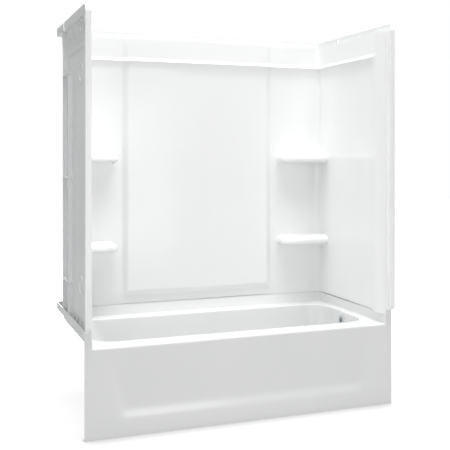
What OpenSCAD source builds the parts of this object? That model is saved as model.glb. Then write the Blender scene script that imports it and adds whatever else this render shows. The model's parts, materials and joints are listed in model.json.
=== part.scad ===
/* [Overall] */
// Width over the bath and the outer flanges of the walls
overall_w = 1524; // [1460:1:1680]
// Depth of the bath from the apron's face to the back flange
bath_d = 762; // [740:1:860]
// Height from the floor to the top of the wall flanges
overall_h = 1880; // [1800:1:2100]
// How far the end walls' front trim stands in front of the apron
trim_proud = 32; // [26:1:45]

/* [Bath] */
// Thickness of the bath moulding
bath_t = 5; // [4:0.5:6]
// Height of the flat rim above the floor
rim_h = 395; // [390:1:450]
// Rise from the rim to the ledge that carries the walls
ledge_rise = 47; // [38:1:60]
// Rise of the nailing flange above the ledge
flange_rise = 30; // [20:1:40]
// Height of the well's floor, measured inside
floor_h = 92; // [90:1:110]
// Width of the front rim, from the apron's face to the well
front_rim = 110; // [90:1:140]
// From the back flange to the well
back_rim = 152; // [130:1:180]
// From the outer flange to the well at the drain end
drain_rim = 73; // [68:1:100]
// From the outer flange to the well at the backrest end
head_rim = 70; // [62:1:120]
// Corner radius of the well at the rim
well_r = 110; // [80:1:150]
// Radius between the well's floor and its sides
well_fillet = 60; // [40:1:75]
// Chamfer along the well's edge
well_edge = 5; // [4:1:12]
// Lean of the backrest from upright, in degrees
backrest_lean = 28; // [15:1:35]
// Lean of the well's long sides, in degrees
side_lean = 4.5; // [2:0.5:8]
// Width of the posts at the two ends of the apron
post_w = 29; // [24:1:34]
// Depth of the apron's recess at its lower edge
recess_depth = 16; // [8:1:24]
// Height of the foot of the apron's recess
recess_foot = 84; // [60:1:110]

/* [Walls] */
// Thickness of the wall mouldings
wall_t = 5; // [4:0.5:6]
// Distance of the end walls' inner face from the outer flange
end_inset = 28; // [26:1:36]
// Distance of the back wall's inner face from the back flange
back_inset = 42; // [36:1:55]
// Radius of the inner back corners
corner_r = 32; // [26:1:50]
// Depth of the returns of the back wall, from the back flange to the seam
return_d = 159; // [150:1:240]
// Height of the top flange above the top of the walls' skin
top_band = 35; // [25:1:45]
// Height of the header above its lip
header_h = 118; // [80:1:160]
// How far the header's lip stands out of the wall
lip_proud = 14; // [8:1:16]
// Width of the raised centre panel
panel_w = 850; // [700:1:880]
// How far the centre panel stands out
panel_proud = 22; // [10:1:28]
// Height of the upper shelves above the floor
shelf_high = 1237; // [1100:1:1350]
// Height of the lower shelves above the floor
shelf_low = 776; // [680:1:850]
// Length of a shelf along the back wall
shelf_len = 270; // [200:1:300]
// Thickness of a shelf at its nose
shelf_t = 45; // [34:1:50]

/* [Waste and overflow] */
// From the rim down to the overflow's centre
overflow_drop = 55; // [52:1:75]
// Radius of the overflow plate
plate_r = 40; // [38:1:44]
// Outer radius of the drain tubes
tube_r = 19.05; // [18:0.05:19.5]
// Wall of the drain tubes
tube_wall = 1.2; // [1:0.1:1.6]
// Distance of the drain from the well's end
drain_setback = 121; // [112:1:160]
// Swing of the trip lever, in degrees
lever_swing = 40; // [20:1:44]

/* [Hidden] */
$fn = 64;
eps = 0.01;
half_w = overall_w / 2;
apron_y = -(bath_d - trim_proud) / 2;
back_y = apron_y + bath_d;
front_y = apron_y - trim_proud;
ledge_h = rim_h + ledge_rise;
flange_h = ledge_h + flange_rise;
white = [0.95, 0.95, 0.95];
chrome = [0.75, 0.76, 0.78];
brass = [0.80, 0.66, 0.36];
black = [0.12, 0.12, 0.12];

// The well: its plan at the rim, and what leans in from there down to the floor
well_left = -half_w + head_rim;
well_right = half_w - drain_rim;
well_front = apron_y + front_rim;
well_back = back_y - back_rim;
well_mid = (well_front + well_back) / 2;
drain_x = well_right - drain_setback;
overflow_h = rim_h - overflow_drop;
fold_r = 5;
fillet_steps = 6;
// The ledge: how far its inner edge lies inside the outer flanges, at the top and at the rim
ledge_side_top = end_inset + 3;
ledge_side_foot = end_inset + 12;
ledge_back_top = back_inset + 2;
ledge_back_foot = back_inset + 28;
// The apron's recess: its corners on the face, measured from the bath's ends
recess_side_low = 157;
recess_side_high = 107;
recess_top = 330;
recess_floor = recess_foot + 24;
apron_lip = 26;
foot_t = 6;

// The walls, measured up from the floor and in from the outer planes
skin_top = overall_h - top_band;
lip_h = skin_top - header_h;
flange_t = 4;
header_proud = 3;
seam_y = back_y - return_d;
trim_foot = flange_h - 4;
trim_t = 23;
pilaster_inset = end_inset + lip_proud;
pilaster_back = 94;
field_front = 142;
trim_chamfer = 44;
flange_gap = 1;
// The back wall's upright flange laps over the end walls' ledge; theirs starts past a notch
flange_lap = 48;
flange_notch = 25;
// The rib beside the seam, and the short ribs from it to the seam below each rivet
rib_back = 118;
rib_w = 8;
rib_deep = 7;
tie_deep = 9;
tie_drop = 34;
tie_h = 6;
panel_step = 27;
panel_foot = ledge_h + 43;
shelf_reach = return_d - back_inset - 3;
shelf_nose = 58;
shelf_dish = 3;
shelf_round_top = 18;
shelf_round_foot = 13;
cove_h = 80;
cove_steps = 8;
nose_r = 3;
lip_rise = 17;
// Snap rivets through the two seam flanges of a corner
rivet_r = 3;
rivet_head_r = 6;
rivet_gap = 0.2;
rivet_x = 11;
rivet_low = 208;
rivet_high = 191;
rivet_heights = [ledge_h + rivet_low, (ledge_h + rivet_low + skin_top - rivet_high) / 2, skin_top - rivet_high];

function in_well(z, lean) = (rim_h - z) * tan(lean);

module box(low, high) {
    translate(low) cube(high - low);
}

// A slice of the well's plan at height z, for use as children of a hull
module well_slice(z, inset, grow) {
    for (x = [well_left + in_well(z, backrest_lean) + well_r, well_right - well_r])
        for (y = [well_front + in_well(z, side_lean) + well_r, well_back - in_well(z, side_lean) - well_r])
            translate([x, y, z - grow])
                cylinder(r = well_r - inset + grow, h = eps, $fn = 48);
}

// The well as a solid: grow is 0 for the inside and the wall's thickness for the outside
module well_body(grow) {
    hull() {
        well_slice(rim_h + (grow > 0 ? 0 : 1), 0, grow);
        for (k = [0 : fillet_steps]) {
            a = 90 * k / fillet_steps;
            well_slice(floor_h + well_fillet * (1 - sin(a)), well_fillet * (1 - cos(a)), grow);
        }
    }
}

module well_mouth() {
    hull() {
        well_slice(rim_h - well_edge, 0, 0);
        well_slice(rim_h + eps, 0, 0);
        translate([0, 0, well_edge])
            well_slice(rim_h - well_edge + eps, -well_edge, 0);
    }
}

// The space above the rim, inside the ledge; grow makes it the outside of the same shell
module tray(grow, low, high) {
    hull() {
        for (level = [[low, ledge_side_foot, ledge_back_foot], [high, ledge_side_top, ledge_back_top]]) {
            x = half_w - level[1] + grow;
            back = back_y - level[2] + grow;
            for (side = [-1, 1]) {
                translate([side * (x - corner_r), back - corner_r, level[0]])
                    cylinder(r = corner_r, h = eps, $fn = 32);
                translate([side * (x - 1) - 1, apron_y - (grow > 0 ? 0 : 1), level[0]])
                    cube([2, 2, eps]);
            }
        }
    }
}

// The outline of the apron's recess, as thin discs for a hull; y runs into the bath
module recess_body(grow) {
    low_x = half_w - recess_side_low;
    high_x = half_w - recess_side_high;
    round_low = 34;
    round_high = 12;
    round_deep = 8;
    translate([0, apron_y + grow, 0]) hull() {
        for (side = [-1, 1]) {
            translate([side * (low_x - round_low), 0, recess_foot + round_low])
                rotate([90, 0, 0]) cylinder(r = round_low + grow, h = 1, $fn = 32);
            translate([side * (high_x - round_high), 0, recess_top - round_high])
                rotate([90, 0, 0]) cylinder(r = round_high + grow, h = 1, $fn = 32);
            translate([side * (low_x - recess_depth - round_low), recess_depth, recess_floor + round_deep])
                rotate([90, 0, 0]) cylinder(r = round_deep + grow, h = eps, $fn = 32);
        }
    }
}

module apron() {
    box([-half_w, apron_y, 0], [half_w, apron_y + bath_t, rim_h]);
    // The foot turns in along the floor
    box([-half_w, apron_y, 0], [half_w, apron_y + apron_lip, foot_t]);
    for (side = [-1, 1]) {
        x = side * (half_w - post_w / 2);
        box([x - post_w / 2, apron_y, rim_h - eps], [x + post_w / 2, apron_y + bath_t, flange_h]);
        // Stiffening returns behind the apron's two ends
        r = side * (half_w - post_w + bath_t / 2);
        box([r - bath_t / 2, apron_y + eps, foot_t - eps], [r + bath_t / 2, apron_y + apron_lip, rim_h - bath_t]);
    }
}

module ledge_and_flange() {
    // The ledge's flat top
    box([-half_w, apron_y, ledge_h - bath_t], [half_w, back_y, ledge_h]);
    // The nailing flange on three sides, with a lower skirt along the front two thirds of the ends
    box([-half_w, back_y - bath_t, ledge_h - eps], [half_w, back_y, flange_h]);
    for (side = [-1, 1]) {
        x = side * (half_w - bath_t / 2);
        box([x - bath_t / 2, apron_y, ledge_h - eps], [x + bath_t / 2, back_y, flange_h]);
        box([x - bath_t / 2, apron_y, ledge_h - bath_t - 6], [x + bath_t / 2, seam_y - 70, ledge_h]);
    }
}

// What is cut from the front rim to round its fold
module fold_cut() {
    run = overall_w - 2 * ledge_side_foot;
    translate([-run / 2, apron_y, rim_h]) rotate([90, 0, 90]) linear_extrude(run) difference() {
        translate([-1, -fold_r]) square([fold_r + 1, fold_r + 1]);
        translate([fold_r, -fold_r]) circle(r = fold_r);
    }
}

module bath() {
    color(white) difference() {
        union() {
            apron();
            ledge_and_flange();
            tray(bath_t, rim_h - bath_t, ledge_h - bath_t);
            well_body(bath_t);
            recess_body(bath_t);
        }
        tray(0, rim_h, ledge_h + eps);
        fold_cut();
        well_body(0);
        well_mouth();
        recess_body(0);
        // Drain hole in the floor and overflow hole in the end
        translate([drain_x, well_mid, floor_h - 2 * bath_t])
            cylinder(r = drain_hole_r, h = 3 * bath_t);
        at_overflow() translate([0, 0, -bath_t]) cylinder(r = overflow_hole_r, h = 3 * bath_t);
    }
}

// A board bonded under the well's floor, and three runners that stand on the room's floor
board_left = well_left + in_well(floor_h, backrest_lean) + well_fillet + 20;
board_gap = 75;
board_right = drain_x - board_gap;
board_half = (well_back - well_front) / 2 - in_well(floor_h, side_lean) - well_fillet - 14;
board_t = 12;
runner_w = 38;

module support_board() {
    color("tan") box([board_left, well_mid - board_half, floor_h - bath_t - board_t],
        [board_right, well_mid + board_half, floor_h - bath_t]);
}

module support_runners() {
    span = board_right - board_left - runner_w;
    color("tan") for (k = [0 : 2]) {
        x = board_left + k * span / 2;
        box([x, well_mid - board_half + 10, 0], [x + runner_w, well_mid + board_half - 10, floor_h - bath_t - board_t]);
    }
}

// The section of the walls' skin: x runs into the room from the inner face, y is height.
// Under the header the face curves out to a lip, whose top slopes back to the header
skin_face = concat(
    [[0, ledge_h]],
    [for (k = [0 : cove_steps])
        [lip_proud * pow(k / cove_steps, 2.4), lip_h - nose_r - cove_h * (1 - k / cove_steps)]],
    [[lip_proud, lip_h + nose_r], [header_proud, lip_h + lip_rise], [header_proud, skin_top]]
);
skin_points = concat(skin_face, [for (k = [len(skin_face) - 1 : -1 : 0]) skin_face[k] - [wall_t, 0]]);

// The skin along the back wall between its two corners
module back_skin() {
    run = overall_w - 2 * (end_inset + corner_r);
    translate([-run / 2, back_y - back_inset, 0]) mirror([0, 1, 0]) rotate([90, 0, 90])
        linear_extrude(run) polygon(skin_points);
}

// The skin round the corner on the negative side, turned about the corner's own axis
module corner_skin() {
    translate([-half_w + end_inset + corner_r, back_y - back_inset - corner_r, 0])
        rotate([0, 0, 90]) rotate_extrude(angle = 90)
            polygon([for (p = skin_points) [corner_r - p[0], p[1]]]);
}

// The skin along an end on the negative side, from y low to y high
module end_skin(low, high) {
    translate([-half_w + end_inset, high, 0]) rotate([90, 0, 0])
        linear_extrude(high - low) polygon(skin_points);
}

// A U-shaped slab between the outer planes and the skin's inner face
module wall_slab(low, high, outer) {
    inner_x = half_w - end_inset - header_proud + wall_t / 2;
    inner_back = back_y - back_inset - header_proud + wall_t / 2;
    difference() {
        box([-half_w + outer, seam_y, low], [half_w - outer, back_y - outer, high]);
        union() {
            box([-inner_x + corner_r, seam_y - 1, low - 1], [inner_x - corner_r, inner_back, high + 1]);
            box([-inner_x, seam_y - 1, low - 1], [inner_x, inner_back - corner_r, high + 1]);
            for (side = [-1, 1])
                translate([side * (inner_x - corner_r), inner_back - corner_r, low - 1])
                    cylinder(r = corner_r, h = high - low + 2);
        }
    }
}

// The raised centre panel with sloping sides; t is 0 for the outside, the skin's for the hollow
module centre_panel(t) {
    face = back_y - back_inset;
    rear = face + wall_t / 2 + t;
    half = panel_w / 2 - t;
    intersection() {
        translate([0, 0, panel_foot]) linear_extrude(skin_top - panel_foot) polygon([
            [-half, rear], [-half, face], [panel_step - half, face - panel_proud + t],
            [half - panel_step, face - panel_proud + t], [half, face], [half, rear]
        ]);
        translate([-panel_w / 2, 0, 0]) rotate([90, 0, 90]) linear_extrude(panel_w) polygon([
            [rear, panel_foot + t], [face, panel_foot + t],
            [face - panel_proud, panel_foot + panel_step + t], [face - panel_proud, skin_top], [rear, skin_top]
        ]);
    }
}

// The lip's run across the panel
module panel_lip() {
    run = panel_w - 2 * panel_step;
    translate([-run / 2, back_y - back_inset - panel_proud, 0]) mirror([0, 1, 0]) rotate([90, 0, 90])
        linear_extrude(run) intersection() {
            polygon(skin_points);
            translate([0, lip_h - cove_h]) square([lip_proud + 1, cove_h + lip_rise]);
        }
}

// The section of a shelf across its nose, rounded over at the top and less below; t insets it
module nose_section(run, t) {
    top = shelf_t / 2 - t;
    over = shelf_round_top - t;
    under = shelf_round_foot - t;
    translate([t + over, top - over]) circle(r = over);
    translate([t + under, under - top]) circle(r = under);
    translate([t, under - top]) square([run - t, 2 * top - under - over]);
    translate([t + over, top - over - eps]) square([run - t - over, over + eps]);
    translate([t + under, -top]) square([run - t - under, under + eps]);
}

// A corner shelf on the negative side as a solid: its nose runs along the front, turns the free
// corner and runs back along the end; t insets it all round, past lengthens it behind
module shelf_body(top, t, past) {
    x0 = -half_w + end_inset - wall_t / 2;
    back = back_y - back_inset + wall_t / 2 + past;
    front = back_y - back_inset - shelf_reach;
    turn_x = -half_w + end_inset + shelf_len - shelf_nose;
    turn_y = front + shelf_nose;
    translate([0, 0, top - shelf_t / 2]) {
        translate([x0, front, 0]) rotate([90, 0, 90])
            linear_extrude(turn_x - x0) nose_section(shelf_nose + 1, t);
        translate([turn_x + shelf_nose, back, 0]) rotate([90, 0, 0])
            linear_extrude(back - turn_y) mirror([1, 0, 0]) nose_section(shelf_nose + 1, t);
        translate([turn_x, turn_y, 0]) rotate([0, 0, -90]) rotate_extrude(angle = 90)
            translate([shelf_nose, 0]) mirror([1, 0, 0]) nose_section(shelf_nose, t);
        box([x0, turn_y, t - shelf_t / 2], [turn_x, back, shelf_t / 2 - t]);
    }
}

// One corner shelf on the negative side: its top is dished to hold small things
module corner_shelf(top) {
    front = back_y - back_inset - shelf_reach;
    difference() {
        shelf_body(top, 0, 0);
        translate([-half_w + end_inset + 14, front + shelf_round_top, top - shelf_dish])
            cube([shelf_len - shelf_nose - 6, shelf_reach - shelf_round_top - 16, shelf_dish + 1]);
    }
}

// The hollow behind a shelf, open at the back of the wall
module shelf_hollow(top) {
    intersection() {
        translate([0, 0, -shelf_dish / 2]) shelf_body(top, wall_t + shelf_dish / 2, wall_t);
        translate([-half_w + end_inset + wall_t / 2, seam_y, 0]) cube([shelf_len, return_d, top]);
    }
}

module both_sides() {
    children();
    mirror([1, 0, 0]) children();
}

module back_wall() {
    color(white) difference() {
        union() {
            difference() {
                union() {
                    back_skin();
                    centre_panel(0);
                    panel_lip();
                }
                centre_panel(wall_t);
            }
            both_sides() {
                corner_skin();
                end_skin(seam_y, back_y - back_inset - corner_r);
                // Seam flange that the rivets pass through
                box([-half_w + 4, seam_y, flange_h + 2], [-half_w + end_inset, seam_y + flange_t, skin_top]);
                corner_shelf(shelf_high);
                corner_shelf(shelf_low);
                box([-half_w, seam_y - flange_lap, skin_top], [-half_w + flange_t, seam_y + 1, overall_h]);
            }
            // Top ledge and the upright flange band round it
            wall_slab(skin_top - flange_t, skin_top, 0);
            difference() {
                box([-half_w, seam_y, skin_top - flange_t], [half_w, back_y, overall_h]);
                box([-half_w + flange_t, seam_y - 1, skin_top - flange_t - 1],
                    [half_w - flange_t, back_y - flange_t, overall_h + 1]);
            }
            // Foot that stands on the bath's ledge
            wall_slab(ledge_h, ledge_h + flange_t, bath_t + flange_gap);
        }
        both_sides() {
            shelf_hollow(shelf_high);
            shelf_hollow(shelf_low);
            for (z = rivet_heights)
                translate([-half_w + rivet_x, seam_y - 1, z]) rotate([-90, 0, 0])
                    cylinder(r = rivet_r + rivet_gap, h = flange_t + 2);
        }
    }
}

// The front of an end wall in plan, from the outer trim over the pilaster to the flat field
module front_plan() {
    polygon([
        [0, -trim_proud],
        [trim_t, -trim_proud],
        [trim_t, -trim_proud + 24],
        [trim_t + 3, -trim_proud + 28],
        [pilaster_inset - 8, 22],
        [pilaster_inset, 60],
        [pilaster_inset, pilaster_back],
        [end_inset, field_front],
        [end_inset - wall_t, field_front],
        [pilaster_inset - wall_t, pilaster_back - 2],
        [pilaster_inset - wall_t, 62],
        [pilaster_inset - 8 - wall_t, 24],
        [trim_t - 2, -trim_proud + 31],
        [trim_t - wall_t, -trim_proud + 27],
        [trim_t - wall_t, -trim_proud + wall_t],
        [flange_t, -trim_proud + wall_t],
        [flange_t, -trim_proud + 27],
        [0, -trim_proud + 27]
    ]);
}

// A triangular gusset between a ledge and the skin, on the outer side
module gusset(y, z, rise) {
    translate([-half_w + flange_t, y + 1.5, z]) rotate([90, 0, 0]) linear_extrude(3)
        polygon([[0, 0], [end_inset - wall_t - flange_t + 0.5, 0], [end_inset - wall_t - flange_t + 0.5, rise]]);
}

module end_wall() {
    gusset_pitch = 72;
    gusset_count = 7;
    color(white) difference() {
        union() {
            translate([-half_w, apron_y, ledge_h])
                linear_extrude(skin_top - ledge_h) front_plan();
            end_skin(apron_y + field_front - eps, seam_y);
            // The lip runs on into the pilaster and ends in a short fillet
            translate([-half_w + end_inset, apron_y + field_front, 0]) rotate([90, 0, 0])
                linear_extrude(field_front - pilaster_back)
                    polygon([[0, lip_h - cove_h / 3], [lip_proud, lip_h - nose_r], [lip_proud, lip_h + nose_r],
                        [0, lip_h + lip_rise + nose_r]]);
            // Top ledge and flange band
            box([-half_w, front_y, skin_top - flange_t],
                [-half_w + end_inset + header_proud - wall_t / 2, seam_y - 0.2, skin_top]);
            box([-half_w, front_y, skin_top - flange_t],
                [-half_w + flange_t, seam_y - flange_lap - flange_notch, overall_h]);
            // Foot on the bath's ledge
            box([-half_w + bath_t + flange_gap, apron_y + bath_t + flange_gap, ledge_h],
                [-half_w + end_inset, seam_y, ledge_h + flange_t]);
            // Seam flange for the rivets, with the rib that stiffens the field beside it
            box([-half_w, seam_y - flange_t, flange_h + 2], [-half_w + end_inset, seam_y, skin_top]);
            box([-half_w + end_inset - wall_t - rib_deep, seam_y - rib_back - rib_w, ledge_h + flange_t],
                [-half_w + end_inset - wall_t / 2, seam_y - rib_back, skin_top - flange_t]);
            for (z = rivet_heights)
                box([-half_w + end_inset - wall_t - tie_deep, seam_y - rib_back - rib_w / 2, z - tie_drop],
                    [-half_w + end_inset - wall_t / 2, seam_y - 2, z - tie_drop + tie_h]);
            // Gussets under the top ledge and over the foot
            for (k = [1 : gusset_count]) {
                y = apron_y + k * gusset_pitch;
                translate([0, 0, 2 * (skin_top - flange_t + 0.5) - skin_top + flange_t - 1])
                    mirror([0, 0, 1]) gusset(y, 0, 58);
                translate([bath_t + flange_gap - flange_t + 2, 0, 0]) gusset(y, ledge_h + flange_t - 0.5, 46);
            }
        }
        // The trim stops above the bath's post, in front of the apron
        box([-half_w - 1, front_y - 1, ledge_h - 1], [-half_w + end_inset + 20, apron_y - 0.5, trim_foot]);
        box([-half_w - 1, apron_y - 1, ledge_h - 1],
            [-half_w + post_w + 0.5, apron_y + bath_t + flange_gap, flange_h + 1]);
        // Chamfers at the outer front corners of the flange
        translate([-half_w - 1, front_y, overall_h]) rotate([45, 0, 0])
            cube([overall_w, trim_chamfer * sqrt(2), trim_chamfer * sqrt(2)], center = true);
        translate([-half_w - 1, front_y, trim_foot]) rotate([45, 0, 0])
            cube([overall_w, 18 * sqrt(2), 18 * sqrt(2)], center = true);
        for (z = rivet_heights)
            translate([-half_w + rivet_x, seam_y - flange_t - 1, z]) rotate([-90, 0, 0])
                cylinder(r = rivet_r + rivet_gap, h = flange_t + 2);
        // Everything past the top of the skin inside the band is open
        box([-half_w + flange_t, front_y - 1, skin_top], [half_w, back_y, overall_h + 1]);
    }
}

module left_end_wall() {
    end_wall();
}

module right_end_wall() {
    mirror([1, 0, 0]) end_wall();
}

// Snap rivets: a round head in front of the flanges, a shank and a barb behind them
module wall_rivets() {
    color("white") for (z = rivet_heights)
        translate([-half_w + rivet_x, seam_y - flange_t, z]) rotate([-90, 0, 0]) {
            translate([0, 0, -3]) cylinder(r1 = rivet_head_r - 2, r2 = rivet_head_r, h = 3);
            cylinder(r = rivet_r, h = 2 * flange_t + 0.3);
            translate([0, 0, 2 * flange_t + 0.3]) cylinder(r1 = rivet_r + 1.2, r2 = rivet_r - 1, h = 6);
        }
}

module left_wall_rivets() {
    wall_rivets();
}

module right_wall_rivets() {
    mirror([1, 0, 0]) wall_rivets();
}

// Waste and overflow. The overflow's axis runs out of the well; local z is the way out
overflow_hole_r = 30;
drain_hole_r = 26;
gasket_t = 6;
elbow_wall = 3.5;
arm_reach = 32;
pivot_out = 4;
tube_x = well_right + pivot_out + arm_reach;
tube_bore = tube_r - tube_wall;
socket_gap = 0.1;
socket_r = tube_r + socket_gap;
body_r = tube_r + 3.2;
collar_r = tube_r + 4.5;
nut_r = tube_r + 9;
nut_h = 18;
washer_h = 5;
plate_rise = 9;
plate_t = 2;
plate_rim = 2.5;
screw_y = 22;
screw_r = 2.2;
base_z = -2;
base_t = 1.5;
lever_w = 6;
slot_h = 28;
slot_w = lever_w + 3;
pivot_r = 2;
ear_t = 2;
pin_r = 1.5;
pin_gap = 0.5;
half_swing = lever_swing / 2;
pin_drop = arm_reach * tan(half_swing);
pivot_h = overflow_h;
yoke_cheek = 2;
rod_r = 2;
shoe_gasket_t = 3;
outlet_h = 56;
tee_foot = 4;
seat_h = 35;
seat_r = 13;
plunger_r = tube_bore - 2.2;
plunger_h = 40;
tee_top = outlet_h + 62;
elbow_foot = overflow_h - 55;

module at_overflow() {
    translate([well_right, well_mid, overflow_h]) rotate([0, 90, 0]) children();
}

module at_pivot() {
    translate([well_right + pivot_out, well_mid, pivot_h]) children();
}

function cap_radius(r, h) = (r * r + h * h) / (2 * h);

module cap(r, h) {
    big = cap_radius(r, h);
    intersection() {
        translate([0, 0, big - h]) sphere(r = big, $fn = 96);
        translate([0, 0, -h]) cylinder(r = r, h = h);
    }
}

module overflow_plate() {
    color(chrome) at_overflow() difference() {
        union() {
            difference() {
                union() {
                    translate([0, 0, -plate_rim]) cap(plate_r, plate_rise);
                    translate([0, 0, -plate_rim]) cylinder(r = plate_r, h = plate_rim);
                }
                translate([0, 0, -plate_rim + eps]) cap(plate_r - plate_t, plate_rise - plate_t);
                translate([0, 0, -plate_rim]) cylinder(r = plate_r - plate_t, h = plate_rim + 1);
            }
            // Bosses down to the lever bracket's base
            for (side = [-1, 1])
                translate([0, side * screw_y, -plate_rise - plate_rim + 4])
                    cylinder(r = screw_r + 3, h = plate_rise + plate_rim - 4 + base_z);
        }
        for (side = [-1, 1]) {
            translate([0, side * screw_y, -plate_rise - plate_rim - 1])
                cylinder(r = screw_r + 0.3, h = 30);
            translate([0, side * screw_y, -plate_rise - plate_rim - 1])
                cylinder(r = screw_r + 2.4, h = 6);
        }
        translate([0, 0, -10]) cube([slot_h, slot_w, 24], center = true);
    }
}

module plate_screws() {
    head = -plate_rise - plate_rim + 5;
    color(chrome) at_overflow() for (side = [-1, 1])
        translate([0, side * screw_y, head]) difference() {
            union() {
                translate([0, 0, -2.2]) cylinder(r1 = screw_r + 1.2, r2 = screw_r + 2, h = 2.2);
                cylinder(r = screw_r, h = bath_t + gasket_t + 12 - head);
            }
            translate([0, 0, -2]) cube([1, 20, 1.6], center = true);
        }
}

// A brass bracket behind the plate: a base with two ears that hold the hinge pin
module lever_bracket() {
    inner = lever_w / 2 + 0.5;
    color(brass) at_overflow() difference() {
        union() {
            for (side = [-1, 1])
                translate([0, side * (inner + ear_t / 2), 0]) {
                    translate([-6, -ear_t / 2, -4.5]) cube([12, ear_t, 8.5]);
                    translate([0, 0, pivot_out]) rotate([90, 0, 0])
                        cylinder(r = 6, h = ear_t, center = true);
                }
            // The base lies under the plate's two bosses, held there by the plate's screws
            difference() {
                translate([-slot_h / 2 - 5, -screw_y - 4.5, base_z]) cube([slot_h + 10, 2 * screw_y + 9, base_t]);
                translate([-slot_h / 2, -inner, base_z - 1]) cube([slot_h, 2 * inner, base_t + 2]);
            }
        }
        translate([0, 0, pivot_out]) rotate([90, 0, 0])
            cylinder(r = pivot_r + 0.05, h = 40, center = true);
        for (side = [-1, 1])
            translate([0, side * screw_y, base_z - 1]) cylinder(r = screw_r + 0.3, h = base_t + 2);
    }
}

module hinge_pin() {
    span = lever_w + 1 + 2 * ear_t;
    color(chrome) at_pivot() rotate([90, 0, 0]) {
        cylinder(r = pivot_r, h = span + 0.6, center = true);
        translate([0, 0, span / 2 + 0.3]) cylinder(r = pivot_r + 1.2, h = 1.2);
    }
}

// The lever at rest: paddle up in the well, arm down behind it, slotted for the yoke's pin
module trip_lever() {
    reach = arm_reach / cos(half_swing);
    color(chrome) at_pivot() difference() {
        union() {
            rotate([90, 0, 0]) linear_extrude(lever_w, center = true) union() {
                circle(r = 5);
                // Neck out through the slot
                polygon([[0, -3.6], [-20, 0], [-22, 7], [0, 3.6]]);
                translate([-20.5, 3.5]) circle(r = 3.6);
                // Paddle
                polygon([[-24, 3.5], [-17, 2.6], [-20, 30], [-25, 30]]);
                translate([-22.5, 30]) circle(r = 2.5);
            }
            rotate([0, half_swing, 0]) rotate([90, 0, 0]) linear_extrude(lever_w - 1, center = true) union() {
                translate([0, -3.4]) square([reach, 6.8]);
                translate([reach + 0.6, 0]) circle(r = 3.4);
            }
        }
        rotate([90, 0, 0]) cylinder(r = pivot_r + 0.05, h = 20, center = true);
        rotate([0, half_swing, 0]) {
            slide = reach - arm_reach + 0.5;
            for (x = [reach - slide, reach + 0.5]) translate([x, 0, 0])
                rotate([90, 0, 0]) cylinder(r = pin_r + pin_gap, h = 20, center = true);
            translate([reach - slide, -10, -pin_r - pin_gap])
                cube([slide + 0.5, 20, 2 * (pin_r + pin_gap)]);
        }
    }
}

yoke_top = 5;
yoke_drop = 12;

module at_yoke() {
    translate([tube_x, well_mid, pivot_h - pin_drop]) children();
}

// The fork that hangs on the lever's arm
module link_yoke() {
    inner = (lever_w - 1) / 2 + 0.5;
    color(brass) at_yoke() difference() {
        union() {
            for (side = [-1, 1])
                translate([-4, side > 0 ? inner : -inner - yoke_cheek, -yoke_drop])
                    cube([8, yoke_cheek, yoke_drop + yoke_top]);
            translate([0, 0, -yoke_drop - 2]) intersection() {
                cylinder(r = inner + yoke_cheek + 1, h = 4);
                translate([-4, -10, 0]) cube([8, 20, 4]);
            }
        }
        rotate([90, 0, 0]) cylinder(r = pin_r + 0.05, h = 20, center = true);
        translate([0, 0, -yoke_drop - 3]) cylinder(r = rod_r + 0.05, h = 6);
    }
}

module yoke_pin() {
    span = lever_w + 2 * yoke_cheek;
    color(chrome) at_yoke() rotate([90, 0, 0])
        cylinder(r = pin_r, h = span + 0.8, center = true);
}

module link_rod() {
    top = pivot_h - pin_drop - yoke_drop + 2;
    color(brass) translate([tube_x, well_mid, seat_h + plunger_h - 10])
        cylinder(r = rod_r, h = top - seat_h - plunger_h + 10);
}

module rod_locknut() {
    color(brass) translate([tube_x, well_mid, seat_h + plunger_h + 0.3]) difference() {
        cylinder(r = 5.5, h = 4, $fn = 6);
        translate([0, 0, -1]) cylinder(r = rod_r + 0.05, h = 6);
    }
}

// The plunger: a brass cup that drops onto the tee's seat
module plunger() {
    color(brass) translate([tube_x, well_mid, seat_h + 0.3]) difference() {
        union() {
            translate([0, 0, 4]) cylinder(r = plunger_r, h = plunger_h - 4);
            cylinder(r1 = seat_r + 0.6, r2 = plunger_r, h = 4);
        }
        translate([0, 0, plunger_h - 12]) cylinder(r = rod_r + 0.05, h = 20);
        // Hollow, with an opening in the bottom
        translate([0, 0, 5]) cylinder(r = plunger_r - 2.5, h = plunger_h - 19);
        translate([0, 0, -1]) cylinder(r = seat_r - 4, h = 8);
        // Grooves round the body
        for (z = [12, 24]) translate([0, 0, z]) difference() {
            cylinder(r = plunger_r + 1, h = 2);
            translate([0, 0, -1]) cylinder(r = plunger_r - 1, h = 4);
        }
    }
}

module overflow_gasket() {
    color(black) at_overflow() translate([0, 0, bath_t]) difference() {
        cylinder(r = overflow_hole_r + 8, h = gasket_t);
        translate([0, 0, -1]) cylinder(r = overflow_hole_r - 1, h = gasket_t + 2);
    }
}

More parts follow.
